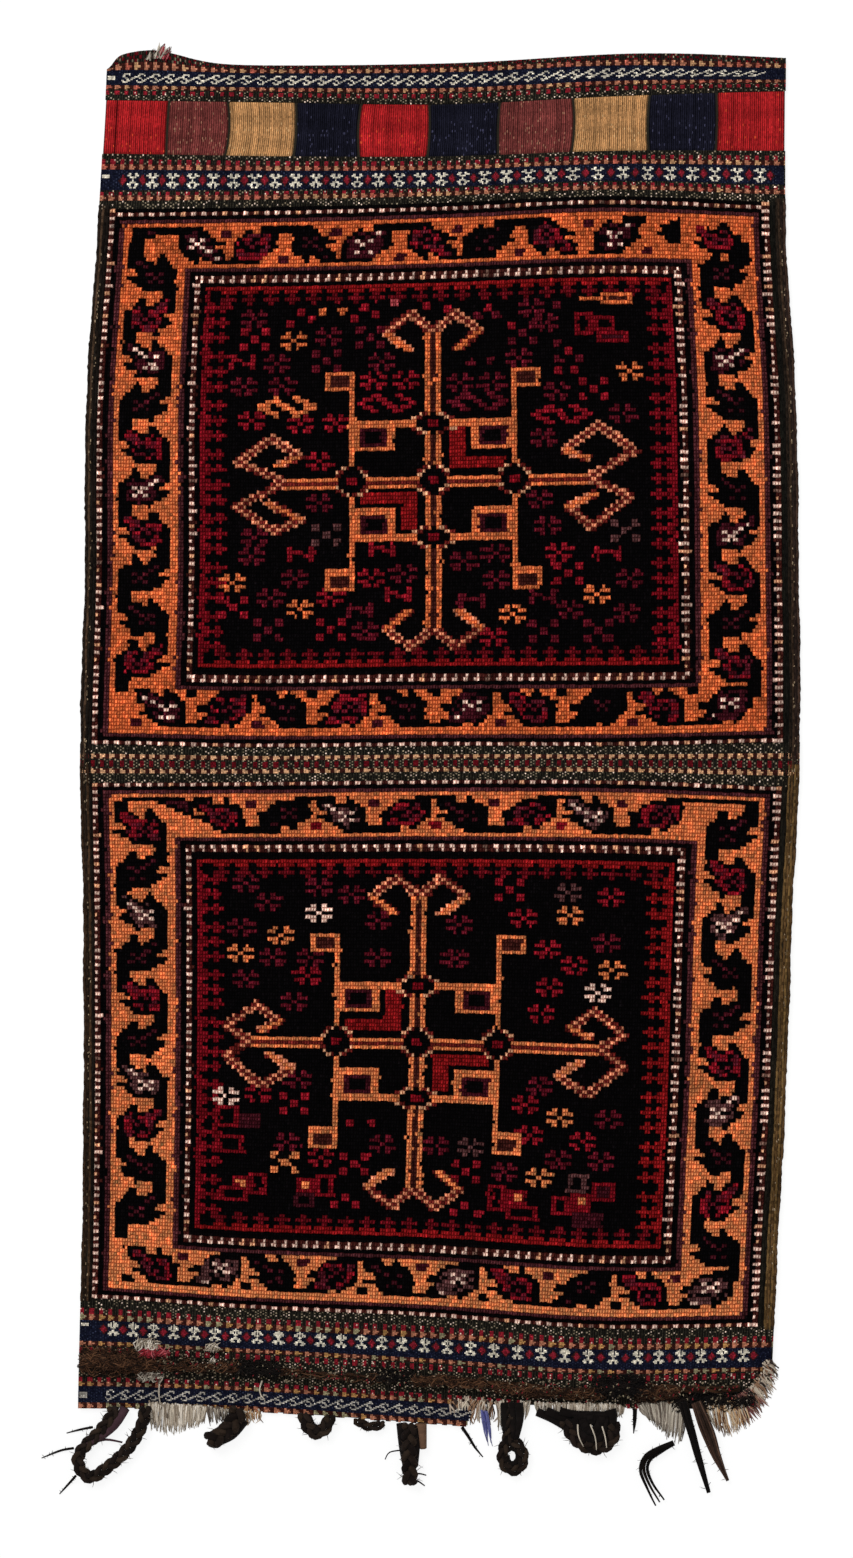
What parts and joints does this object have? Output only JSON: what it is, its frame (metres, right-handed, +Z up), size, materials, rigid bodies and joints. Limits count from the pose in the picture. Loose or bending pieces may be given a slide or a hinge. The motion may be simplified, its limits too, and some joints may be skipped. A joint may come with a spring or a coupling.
{
  "type": "chanteh bag opened flat",
  "caption": "Small woven bag of knotted pile with flatwoven ends, its side seams opened so that it lies flat as a single cloth, with worn goat-hair closing loops along one end.",
  "frame": {"origin": "middle of the fold, on the underside of the cloth", "axes": "+X across the cloth to the right, +Y along it towards the plain end, +Z up through the pile face"},
  "size_m": [0.4406, 0.8399, 0.0091],
  "materials": {
    "flatweave": "coarse dark wool flatweave, matt",
    "bright_red_weft": "ribbed wool tapestry, matt",
    "mauve_weft": "ribbed wool tapestry, matt",
    "tan_weft": "ribbed wool tapestry, matt",
    "navy_weft": "ribbed wool tapestry, matt",
    "ivory_yarn": "undyed wool yarn, matt",
    "dark_pile": "short worn wool pile, soft sheen",
    "plum_pile": "short wool pile, soft sheen",
    "orange_pile": "short wool pile, soft sheen",
    "red_pile": "short wool pile, soft sheen",
    "selvedge_hair": "wrapped goat hair, matt",
    "goat_hair": "braided goat hair, fuzzy and matt"
  },
  "bodies": {
    "root": {"ground_cloth": "flatweave", "tapestry_square_01": "bright_red_weft", "tapestry_square_02": "mauve_weft", "tapestry_square_03": "tan_weft", "tapestry_square_04": "navy_weft", "tapestry_square_05": "bright_red_weft", "tapestry_square_06": "navy_weft", "tapestry_square_07": "mauve_weft", "tapestry_square_08": "tan_weft", "tapestry_square_09": "navy_weft", "tapestry_square_10": "bright_red_weft", "top_star_band": "ivory_yarn", "bottom_star_band": "ivory_yarn", "left_selvedge": "selvedge_hair", "right_selvedge": "selvedge_hair", "upper_dark_pile": "dark_pile", "upper_outer_guard": "plum_pile", "upper_leaf_border": "orange_pile", "upper_inner_guard": "ivory_yarn", "upper_sawtooth": "red_pile", "upper_medallion": "orange_pile", "upper_red_corner_1": "red_pile", "upper_red_corner_2": "red_pile", "lower_dark_pile": "dark_pile", "lower_outer_guard": "plum_pile", "lower_leaf_border": "orange_pile", "lower_inner_guard": "ivory_yarn", "lower_sawtooth": "red_pile", "lower_medallion": "orange_pile", "lower_red_corner_1": "red_pile", "lower_red_corner_2": "red_pile", "couched_hair_cord": "goat_hair", "left_fringe": "ivory_yarn", "right_fringe": "ivory_yarn", "corner_fringe": "ivory_yarn", "closing_loop_1": "goat_hair", "closing_loop_2": "goat_hair", "closing_loop_3": "goat_hair", "closing_loop_4": "goat_hair", "closing_loop_5": "goat_hair", "closing_loop_6": "goat_hair", "closing_loop_7": "goat_hair", "closing_loop_8": "goat_hair", "loose_strand_1": "goat_hair", "loose_strand_2": "goat_hair", "loose_strand_3": "goat_hair", "loose_strand_4": "goat_hair", "stray_strand_1": "goat_hair", "stray_strand_2": "goat_hair", "stray_strand_3": "goat_hair"}
  },
  "joints": []
}
